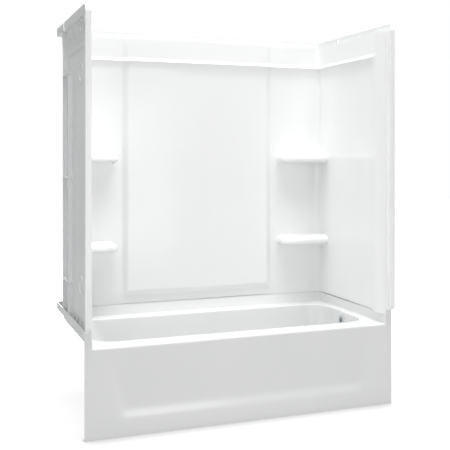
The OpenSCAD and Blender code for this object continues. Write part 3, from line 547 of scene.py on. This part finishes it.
def paint_flange_shade(obj, behind):
    """Gives the upright flange, where it is behind this Y, the dull material whose grey is painted shade."""
    obj.data.materials.append(flange_painted_shade)
    for face in obj.data.polygons:
        if face.center.z > skin_top + 0.002 and face.center.y > behind:
            face.material_index = 2


paint_flange_shade(back_wall, apron_y)
# A shelf is the corner's plan pressed up; it bites into the wall, and its outer corner is round
shelf_tops, shelf_thick, shelf_front, shelf_end = (1.237, 0.776), 0.045, 0.241, 0.464
plan_round, bite, nose_round, chin_round = 0.058, 0.0025, 0.028, 0.013
shelf = new_plane("shelf", (-wall_x - bite, shelf_front), (-shelf_end, wall_y + bite), -shelf_thick)
pick("VERT", lambda c: near(c.x, -shelf_end) and near(c.y, shelf_front))
bpy.ops.mesh.bevel(offset=plan_round, segments=14, affect="VERTICES")
pick("VERT", lambda c: c.x < -wall_x and c.y > wall_y)
bpy.ops.mesh.bevel(offset=wall_round + bite, segments=10, affect="VERTICES")
pick("FACE", lambda c, n: True)
extrude(z=shelf_thick)


def free_edge(a, b, z):
    """The shelf's edge at this height, where it doesn't touch the wall."""
    front = max(a.y, b.y) < shelf_front + plan_round + 0.0001 and near(min(a.y, b.y), shelf_front, 0.0005)
    outer_end = min(a.x, b.x) > -shelf_end - plan_round - 0.0001
    return (both(a, b, "z", z) and min(a.x, b.x) > -wall_x - 0.003 and (front or outer_end)
            and not near(a.y + b.y, 2 * (wall_y + bite)))


pick("EDGE", lambda a, b: free_edge(a, b, 0))
bpy.ops.mesh.bevel(offset=nose_round, segments=9, affect="EDGES")
pick("EDGE", lambda a, b: free_edge(a, b, -shelf_thick))
bpy.ops.mesh.bevel(offset=chin_round, segments=6, affect="EDGES")
# Rings near its rim let it flare where it grows out of the wall, above and below
for side, rise in ((1, 0), (-1, -shelf_thick)):
    pick("FACE", lambda c, n: near(c.z, rise) and n.z * side > 0.99)
    for step in (0.0035, 0.0015, 0.002, 0.003):
        bpy.ops.mesh.inset(thickness=step)
# Its top is dished: the face inside the rings sinks in three steps
dish_x, dish_y, dish_step, flare = (-0.70, -0.53), (0.290, 0.344), 0.004, 0.0075
pick("FACE", lambda c, n: near(c.z, 0) and n.z > 0.99 and dish_x[0] < c.x < dish_x[1]
     and dish_y[0] < c.y < dish_y[1])
for sink in (0.0006, 0.0018, 0.0006):
    bpy.ops.mesh.inset(thickness=dish_step, depth=-sink)
shape = bmesh.from_edit_mesh(shelf.data)
for vert in shape.verts:
    x, y = vert.co.x + wall_x - wall_round, vert.co.y - wall_y + wall_round
    away = wall_round - math.hypot(x, y) if x < 0 and y > 0 else min(x + wall_round, wall_round - y)
    if away < flare and (near(vert.co.z, 0) or near(vert.co.z, -shelf_thick)):
        d = flare - max(away, 0)
        rise = flare - math.sqrt(flare ** 2 - d * d)
        vert.co.z += math.copysign(rise, vert.co.z + shelf_thick / 2)
bmesh.update_edit_mesh(shelf.data)
pick_all()
bpy.ops.mesh.normals_make_consistent(inside=False)
bpy.ops.object.mode_set(mode="OBJECT")
shelf.data.materials.append(gloss_white)
shelves = []
for side in (1, -1):
    for top in shelf_tops:
        alone(shelf)
        bpy.ops.object.duplicate()
        copy = bpy.context.object
        copy.location.z, copy.scale.x = top, side
        bpy.ops.object.transform_apply(location=True, rotation=True, scale=True)
        if side < 0:
            copy.data.flip_normals()
        shelves.append(copy)
bpy.data.objects.remove(shelf)
for copy in shelves:
    finish_mesh(back_wall, ("BOOLEAN", {"operation": "UNION", "solver": "EXACT", "object": copy}))
    bpy.data.objects.remove(copy)
finish_mesh(back_wall, ("WEIGHTED_NORMAL", {"keep_sharp": True}))
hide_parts("back_wall")
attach(back_wall, "fixture")

# End walls
# A thin moulding at each end: a squared front trim, a bowed pilaster behind it and a flat field
# whose lip meets the back wall's. Gussets and ribs stiffen its outer side, out of sight once the
# bath is built in; pop-in rivets join it to the back wall at the seam flange.
front_y, trim_foot, trim_chamfer = -0.397, 0.468, 0.018
# Its plan, from the outer side's edge round the trim, its bead and the pilaster to the seam
plan = [(0.0, -0.005), (0.0, -0.032), (0.023, -0.032), (0.023, -0.013), (0.0280, -0.011),
        (0.0295, -0.005), (0.0285, 0.003), (0.0245, 0.009), (0.0255, 0.014), (0.034, 0.024),
        (0.039, 0.042), (0.042, 0.060), (0.042, 0.094), (0.028, 0.142), (0.028, 0.6028)]
left_wall = upright_strip("left_end_wall_moulding", -half_width, apron_y + plan[1][1],
                          apron_y + plan[0][1], ledge_z, skin_top)
pick("EDGE", lambda a, b: both(a, b, "y", front_y))
for before, point in zip(plan[1:], plan[2:]):
    extrude(x=point[0] - before[0], y=point[1] - before[1])
# The cove, lip and header start where the pilaster ends
shape_levels(apron_y + plan[-2][1] - 0.001)
# The trim hangs in front of the apron and stops above the bath's post
cut("Z", trim_foot)
pick("FACE", lambda c, n: c.z < trim_foot and c.y < apron_y + 0.006)
bpy.ops.mesh.delete(type="FACE")
# The seam flange turns out at the back edge
pick("EDGE", lambda a, b: both(a, b, "y", seam_y, 0.001))
extrude(x=wall_x - seam_x)
pick("VERT", lambda c: near(c.y, seam_y, 0.001) and c.x < -wall_x - 0.001)
flatten("X", -seam_x)
# A strip closes the trim's top; behind it the ledge turns out, and the upright flange stands on it
strip = 0.007
ledge_start = front_y + strip
cut("Y", ledge_start)
pick("EDGE", lambda a, b: both(a, b, "z", skin_top) and both(a, b, "y", front_y))
extrude(y=strip)
pick("EDGE", lambda a, b: both(a, b, "z", skin_top) and min(a.y, b.y) > ledge_start - 0.0005
     and max(a.y, b.y) > ledge_start + 0.0005 and max(a.x, b.x) > -wall_x - 0.006
     and not near(a.x, -seam_x))
extrude()
flatten("X", -flange_x)
pick("EDGE", lambda a, b: both(a, b, "z", skin_top) and both(a, b, "x", -flange_x))
extrude(z=wall_top - skin_top)
pick_all()
bpy.ops.mesh.remove_doubles(threshold=0.00005)
# The flange stops short of the back wall's, and slopes down to the trim at its front end
flange_end = seam_y - lap - notch
slope_head, slope_normal = front_y + 0.027, (0, -0.865, 0.5)
cut("Y", flange_end)
pick("FACE", lambda c, n: c.z > skin_top + 0.001 and c.y > flange_end)
bpy.ops.mesh.delete(type="FACE")
pick("FACE", lambda c, n: c.z > skin_top + 0.001)
bpy.ops.mesh.bisect(plane_co=(0, slope_head, wall_top), plane_no=slope_normal, clear_outer=True)
# The trim's foot is chamfered, and sloping and level faces close it
pick_all()
bpy.ops.mesh.bisect(plane_co=(0, front_y + trim_chamfer, trim_foot), plane_no=(0, -1, -1), clear_outer=True)
pick("EDGE", lambda a, b: both(a, b, "z", trim_foot + trim_chamfer) and both(a, b, "y", front_y))
extrude(y=trim_chamfer, z=-trim_chamfer)
extrude(y=trim_chamfer / 2)
pick_all()
bpy.ops.mesh.remove_doubles(threshold=0.0002)
bpy.ops.mesh.normals_make_consistent(inside=False)
# The foot turns out along the bath's ledge
foot_x = 0.756
pick("EDGE", lambda a, b: both(a, b, "z", ledge_z) and min(a.y, b.y) > apron_y + 0.02
     and min(a.x, b.x) > -0.745)
extrude()
flatten("X", -foot_x)
bpy.ops.object.mode_set(mode="OBJECT")
if sum(p.normal.x * p.area for p in left_wall.data.polygons) < 0:
    left_wall.data.flip_normals()
give_skin(left_wall, gloss_white, raw_back)
# Its upright flange takes the same painted shade
paint_flange_shade(left_wall, front_y + 0.034)
# A deep upright rib runs from the foot to the upper rivet, tied to the seam's flange below each
back_face, root = -wall_x - skin, 0.0025
rib_y, rib_wide, rib_out, tie_drop = 0.070, 0.004, -0.7600, 0.034
rivet_low, rivet_high = ledge_z + 0.208, skin_top - 0.191
rivet_z = (rivet_low, (rivet_low + rivet_high) / 2, rivet_high)
stiffeners = [bar("rib", (rib_out, rib_y, ledge_z + 0.004),
                  (back_face + root, rib_y + rib_wide, rivet_high - tie_drop), 0.001)]
for z in rivet_z:
    stiffeners.append(bar("tie", (rib_out + 0.001, rib_y - 0.006, z - tie_drop),
                          (back_face + root, seam_y - 0.004, z - tie_drop + rib_wide), 0.001))
# Gussets hang under the top ledge and stand on the foot, at an even pitch
gusset_pitch, gusset_count, gusset_thick = 0.072, 7, 0.003
for start, rise, outer in ((skin_top - 0.003, -0.058, -flange_x),
                           (ledge_z + 0.003, 0.046, 0.001 - foot_x)):
    gusset = new_plane("gusset", (outer, 0), (back_face + root, abs(rise)), 0)
    pick_all()
    bpy.ops.mesh.bisect(plane_co=(back_face, abs(rise), 0), plane_no=(-abs(rise), back_face - outer, 0),
                        clear_outer=True)
    pick("FACE", lambda c, n: True)
    extrude(z=gusset_thick)
    pick_all()
    bpy.ops.transform.rotate(value=-math.pi / 2, orient_axis="X", center_override=(0, 0, 0))
    if sum(v.co.z for v in bmesh.from_edit_mesh(gusset.data).verts) * rise < 0:
        bpy.ops.transform.resize(value=(1, 1, -1), center_override=(0, 0, 0))
    move(0, apron_y + gusset_pitch, start)
    bpy.ops.mesh.normals_make_consistent(inside=False)
    row = {"count": gusset_count, "use_relative_offset": False, "use_constant_offset": True,
           "constant_offset_displace": (0, gusset_pitch, 0)}
    finish_mesh(gusset, ("BEVEL", {"width": 0.0006, "segments": 2}), ("ARRAY", row))
    stiffeners.append(gusset)


def ring_of(obj_name, profile, steps=64):
    """Spins a profile of radius and height about Z into a closed plate or ring."""
    obj = new_plane(obj_name, (0, 0), (0.01, 0.01), 0)
    pick_all()
    bpy.ops.mesh.delete(type="VERT")
    shape = bmesh.from_edit_mesh(obj.data)
    line = [shape.verts.new((r, 0, z)) for r, z in profile]
    for a, b in zip(line, line[1:]):
        shape.edges.new((a, b))
    bmesh.update_edit_mesh(obj.data)
    pick_all()
    bpy.ops.mesh.spin(steps=steps, angle=2 * math.pi, center=(0, 0, 0), axis=(0, 0, 1))
    pick_all()
    bpy.ops.mesh.remove_doubles(threshold=0.000005)
    bpy.ops.mesh.normals_make_consistent(inside=False)
    bpy.ops.object.mode_set(mode="OBJECT")
    return obj


def place_at(obj, place, turn=(0, 0, 0)):
    """Turns and places a piece by its mesh, so that its object stays at the origin."""
    alone(obj)
    obj.rotation_euler, obj.location = turn, place
    bpy.ops.object.transform_apply(location=True, rotation=True, scale=True)


# Two round pads are moulded proud of the outer side, level with the top and bottom rivets
pad_round, pad_y, pad_proud, pad_edge, pad_root = 0.040, -0.165, 0.0035, 0.003, -0.002
pad_section = [(pad_round - pad_edge, pad_root), (pad_round - pad_edge / 2, pad_proud),
               (pad_round + pad_edge / 2, pad_proud), (pad_round + pad_edge, pad_root),
               (pad_round - pad_edge, pad_root)]
for z in (rivet_low - 0.008, rivet_high - 0.050):
    pad = ring_of("pad", pad_section, 40)
    place_at(pad, (back_face, pad_y, z), (0, -math.pi / 2, 0))
    finish_mesh(pad, angle=50)
    stiffeners.append(pad)
for obj in stiffeners:
    obj.data.materials.append(raw_back)
join_to(left_wall, stiffeners)
bpy.ops.object.duplicate()
right_wall = bpy.context.object
right_wall.name = "right_end_wall_moulding"
right_wall.scale.x = -1
bpy.ops.object.transform_apply(location=False, rotation=False, scale=True)
right_wall.data.flip_normals()
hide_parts("left_end_wall")
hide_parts("right_end_wall")
for obj in (left_wall, right_wall):
    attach(obj, "fixture")

# Rivets, board and runners
# Push-in nylon rivets clip the walls' seam flanges together. Under the well a plywood board is
# bonded to the moulding and stands on three softwood runners, which take the bather's weight.
nodes = frame["nodes"]


def finish_as(material, *names):
    """Gives CAD pieces that stay as they are this material."""
    for name in names:
        for holder in nodes[name].material_slots:
            holder.material = material


# Nylon, injection moulded: faintly translucent, satin, a little creamy
nylon = moulded("natural_nylon", "#EFEFE9", "#E8E8E0", 0.42, 1.53, 2.0, 0.3, 0.05)
nylon.node_tree.nodes["Principled BSDF"].inputs["Subsurface Weight"].default_value = 0.15
nylon.node_tree.nodes["Principled BSDF"].inputs["Subsurface Scale"].default_value = 0.002
finish_as(nylon, "left_wall_rivets", "right_wall_rivets")


def sawn_wood(name, light, dark, along, ring_mm):
    """Sawn wood: rings drawn out along the board, fibres across them, and a rough face."""
    fibre_mm, draw_out = 1.2, 0.06
    material, shader = new_material(name)
    tree = material.node_tree
    place = add_node(tree, "ShaderNodeTexCoord").outputs["Object"]
    stretch = tuple(draw_out if axis == along else 1.0 for axis in "XYZ")
    drawn = add_node(tree, "ShaderNodeMapping", inputs={"Scale": stretch}, links={"Vector": place})
    rings = add_node(tree, "ShaderNodeTexNoise",
                     inputs={"Scale": 1000 / ring_mm, "Detail": 5.0, "Distortion": 0.6},
                     links={"Vector": drawn.outputs[0]})
    fibre = add_node(tree, "ShaderNodeTexNoise", inputs={"Scale": 1000 / fibre_mm, "Detail": 2.0},
                     links={"Vector": drawn.outputs[0]})
    ramp = add_node(tree, "ShaderNodeValToRGB", links={"Fac": rings.outputs["Fac"]})
    for stop, at, code in zip(ramp.color_ramp.elements, (0.35, 0.68), (light, dark)):
        stop.position, stop.color = at, linear(code)
    tree.links.new(ramp.outputs["Color"], shader.inputs["Base Color"])
    rise = add_node(tree, "ShaderNodeBump", inputs={"Strength": 0.5, "Distance": 0.0003},
                    links={"Height": fibre.outputs["Fac"]})
    tree.links.new(rise.outputs["Normal"], shader.inputs["Normal"])
    shader.inputs["Roughness"].default_value = 0.72
    return material


# Birch-faced plywood with a calm figure, and pine runners whose rings are closer and darker
finish_as(sawn_wood("plywood_face", "#D9BE94", "#C4A272", "X", 22.0), "support_board")
finish_as(sawn_wood("sawn_pine", "#DDBF8E", "#B98E58", "Y", 14.0), "support_runners")

# Overflow cover and trip lever
# A dished brass plate under the rim hides the overflow; it is pressed, polished and chromed, and
# held by two countersunk screws. The lever stands in its slot, and is cast and chromed to match.


def plated(name, colour, roughness, polish_mm, bump):
    """A metal surface with the faint waviness of buffing under it."""
    material, shader = new_material(name)
    tree = material.node_tree
    place = add_node(tree, "ShaderNodeTexCoord").outputs["Object"]
    buffing = add_node(tree, "ShaderNodeTexNoise", inputs={"Scale": 1000 / polish_mm, "Detail": 4.0},
                       links={"Vector": place}).outputs["Fac"]
    spread = add_node(tree, "ShaderNodeMapRange", inputs={3: roughness * 0.7, 4: roughness * 1.4},
                      links={0: buffing})
    tree.links.new(spread.outputs[0], shader.inputs["Roughness"])
    rise = add_node(tree, "ShaderNodeBump", inputs={"Strength": bump, "Distance": 0.0002},
                    links={"Height": buffing})
    tree.links.new(rise.outputs["Normal"], shader.inputs["Normal"])
    shader.inputs["Base Color"].default_value = linear(colour)
    shader.inputs["Metallic"].default_value = 1.0
    return material


# Bright chromium plate: nearly a mirror, very slightly blue
chrome = plated("bright_chrome_plate", "#D9DCDF", 0.10, 14.0, 0.08)
plate_round, dome, edge, metal, dome_turn = 0.040, 0.009, 0.0025, 0.002, 1.35
screw_reach, head_round, head_seat, drill_long = 0.022, 0.0046, 0.0032, 0.03
slot_half_long, slot_half_wide = 0.014, 0.0045
boss_bore, boss_round, boss_foot, boss_top = 0.0025, 0.0045, 0.0022, 0.0072
# Its section: a rolled edge on the well's wall, a soft dome, and the same dome two millimetres in
turns = [dome_turn * k / 14 for k in range(15)]
outer = [(plate_round * math.sin(a), edge + dome * (1 - (1 - math.cos(a)) / (1 - math.cos(dome_turn))) ** 0.9)
         for a in turns]
outer = [(0.0, edge + dome)] + [(r * plate_round / outer[-1][0], z) for r, z in outer[1:]]
section = outer + [(plate_round, edge * 0.5), (plate_round - 0.0006, 0.0001), (plate_round - metal, 0.0001)]
section += [(max(r - metal * (r / plate_round), 0), max(z - metal, 0.0004)) for r, z in reversed(outer[:-2])]
cover = ring_of("overflow_cover", section)
bpy.ops.object.select_all(action="DESELECT")
cut_out(cover, bar("slot_tool", (-slot_half_long, -slot_half_wide, -0.02),
                   (slot_half_long, slot_half_wide, 0.03), 0.0008))
boss_section = [(boss_bore, boss_foot), (boss_round, boss_foot), (boss_round, boss_top),
                (boss_bore, boss_top), (boss_bore, boss_foot)]
for side in (-1, 1):
    drill_hole(cover, head_round, drill_long, (0, side * screw_reach, head_seat + drill_long / 2))
    boss = ring_of("boss", boss_section, 32)
    place_at(boss, (0, side * screw_reach, 0))
    join_to(cover, [boss])
place_at(cover, (well_right, well_y, overflow_z), (0, -math.pi / 2, 0))
finish_mesh(cover, angle=30)
cover.data.materials.append(chrome)
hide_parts("overflow_plate")
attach(cover, "fixture")
finish_as(chrome, "plate_screws", "trip_lever")

# Lever bracket, linkage and plunger
# Behind the cover a brass bracket carries the lever on its pin; a fork, a rod and a locknut hang
# the plunger in the overflow tube. Rod, nut and plunger are turned, the fork is milled and the
# bracket stamped, all left bare and warm yellow with a fine grain; the two pins are plated.
brass = plated("bare_turned_brass", "#C8A55C", 0.26, 5.0, 0.25)
finish_as(brass, "lever_bracket", "link_yoke", "link_rod", "rod_locknut", "plunger")
finish_as(chrome, "hinge_pin", "yoke_pin")

# Waste and overflow pipes
# Black moulded elbow, tee, shoe and slip nuts with a satin face, joined by white drawn tubes;
# grey washers close each slip joint, and soft rubber gaskets seal the two holes of the bath.
pipe_black = moulded("moulded_pipe_plastic", "#1D1E20", "#151617", 0.40, 1.54, 1.6, 0.5, 0.06)
finish_as(pipe_black, "overflow_elbow", "elbow_nut", "tee_top_nut", "waste_tee", "tee_side_nut",
          "drain_shoe")
# The drawn tubes are smoother than the moulded fittings, and the washers and gaskets duller
tube_white = moulded("drawn_white_tube", "#E9E9E4", "#E2E2DC", 0.33, 1.53, 6.0, 0.25, 0.04)
finish_as(tube_white, "overflow_tube", "shoe_tube")
washer_grey = moulded("grey_washer_plastic", "#888B90", "#7C7F84", 0.48, 1.51, 1.2, 0.3, 0.05)
finish_as(washer_grey, "elbow_washer", "tee_top_washer", "tee_side_washer")
rubber = moulded("soft_black_rubber", "#191918", "#121211", 0.78, 1.52, 0.8, 0.7, 0.06)
finish_as(rubber, "overflow_gasket", "shoe_gasket")

# Drain flange and strainer
# A cast flange sits on the well's floor over the drain, and a pierced strainer lies in its dish
# under one screw. Both are brass, polished and chromed like the cover.
finish_as(chrome, "drain_flange", "strainer", "strainer_screw")

# Floor, light and camera
# White paper under soft boxes: its glow carries a painted contact shadow where the bath stands on it and
# stays plain white further out, and the camera stands where the photograph was taken.
bpy.ops.object.select_all(action="DESELECT")
bpy.ops.mesh.primitive_plane_add(size=30, location=(0, 0, 0))
floor = bpy.context.object
floor.name = "studio_floor"
paper, shader = new_material("pale_studio_floor")
tree = paper.node_tree
shader.inputs["Base Color"].default_value = linear("#C8C8C8")
shader.inputs["Roughness"].default_value = 0.9


def seen_straight(tree):
    """One for a camera, glossy or transmission ray, and nought for a ray that lights the object."""
    rays = add_node(tree, "ShaderNodeLightPath").outputs
    seen = rays["Is Camera Ray"]
    for kind in ("Is Glossy Ray", "Is Transmission Ray"):
        seen = add_node(tree, "ShaderNodeMath", {"operation": "MAXIMUM"},
                        links={0: seen, 1: rays[kind]}).outputs[0]
    return seen


painted_shadow_reach, covered, uncovered, painted_shadow_glow, floor_plain = 0.13, 0.5, 0.92, 0.50, 0.87
fade_near, fade_far, fade_lift = 1.3, 4.0, 1.15
# Ambient occlusion dims the floor's glow near the bath: a painted contact shadow
painted_shadow_ao = add_node(tree, "ShaderNodeAmbientOcclusion", {"samples": 8}, {"Distance": painted_shadow_reach})
shade = add_node(tree, "ShaderNodeMapRange",
                 inputs={1: covered, 2: uncovered, 3: painted_shadow_glow, 4: floor_plain},
                 links={0: painted_shadow_ao.outputs["AO"]})
place = add_node(tree, "ShaderNodeTexCoord").outputs["Object"]
away = add_node(tree, "ShaderNodeVectorMath", {"operation": "LENGTH"}, links={0: place})
further = add_node(tree, "ShaderNodeMapRange", inputs={1: fade_near, 2: fade_far, 3: 1.0, 4: fade_lift},
                   links={0: away.outputs["Value"]})
strength = add_node(tree, "ShaderNodeMath", {"operation": "MULTIPLY"},
                    links={0: shade.outputs[0], 1: further.outputs[0]})
glow = add_node(tree, "ShaderNodeEmission", links={"Strength": strength.outputs[0]})
pale = add_node(tree, "ShaderNodeBsdfDiffuse", inputs={"Color": linear("#767676")})
lit = add_node(tree, "ShaderNodeAddShader", links={0: pale.outputs[0], 1: glow.outputs[0]})
choice = add_node(tree, "ShaderNodeMixShader",
                  links={0: seen_straight(tree), 1: shader.outputs[0], 2: lit.outputs[0]})
tree.links.new(choice.outputs[0], tree.nodes["Material Output"].inputs["Surface"])
floor.data.materials.append(paper)
floor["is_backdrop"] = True

# The background looks white but lights the object far less
background_light = 0.170
world = bpy.data.worlds.new("studio")
bpy.context.scene.world = world
world.use_nodes = True
tree = world.node_tree
back = tree.nodes["Background"]
power = add_node(tree, "ShaderNodeMapRange", inputs={3: background_light, 4: 1.0},
                 links={0: seen_straight(tree)})
back.inputs["Color"].default_value = (1, 1, 1, 1)
tree.links.new(power.outputs[0], back.inputs["Strength"])


def soft_box(name, place, size, watts, aim):
    """A square lamp that looks at this height above the origin."""
    lamp = bpy.data.lights.new(name, "AREA")
    lamp.size, lamp.energy = size, watts
    holder = bpy.data.objects.new(name, lamp)
    bpy.context.scene.collection.objects.link(holder)
    holder.location = place
    look = Vector((0, 0, aim)) - Vector(place)
    holder.rotation_euler = look.to_track_quat("-Z", "Y").to_euler()


soft_box("overhead_softbox", (0, -0.3, 4.4), 3.0, 85, 0.5)
soft_box("high_softbox", (0, -0.6, 7.0), 4.0, 345, 0.5)
soft_box("low_front_fill", (0.2, -4.6, 0.7), 2.4, 35, 0.9)
soft_box("left_front_fill", (-4.0, -4.0, 2.6), 2.5, 53, 0.9)
soft_box("right_fill", (5.0, -1.8, 2.6), 4.0, 78, 0.9)
soft_box("back_fill", (0.8, 5.0, 2.2), 3.0, 60, 0.9)

lens = bpy.data.cameras.new("camera")
camera = bpy.data.objects.new("camera", lens)
bpy.context.scene.collection.objects.link(camera)
camera.location = (-1.411, -3.787, 1.227)
camera.rotation_euler = (math.pi / 2, 0, math.radians(-20.72))
lens.lens, lens.sensor_width, lens.shift_x, lens.shift_y = 64.06, 36.0, -0.0011, -0.154
bpy.context.scene.camera = camera
bpy.context.scene.view_settings.view_transform = "Standard"

low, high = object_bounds()
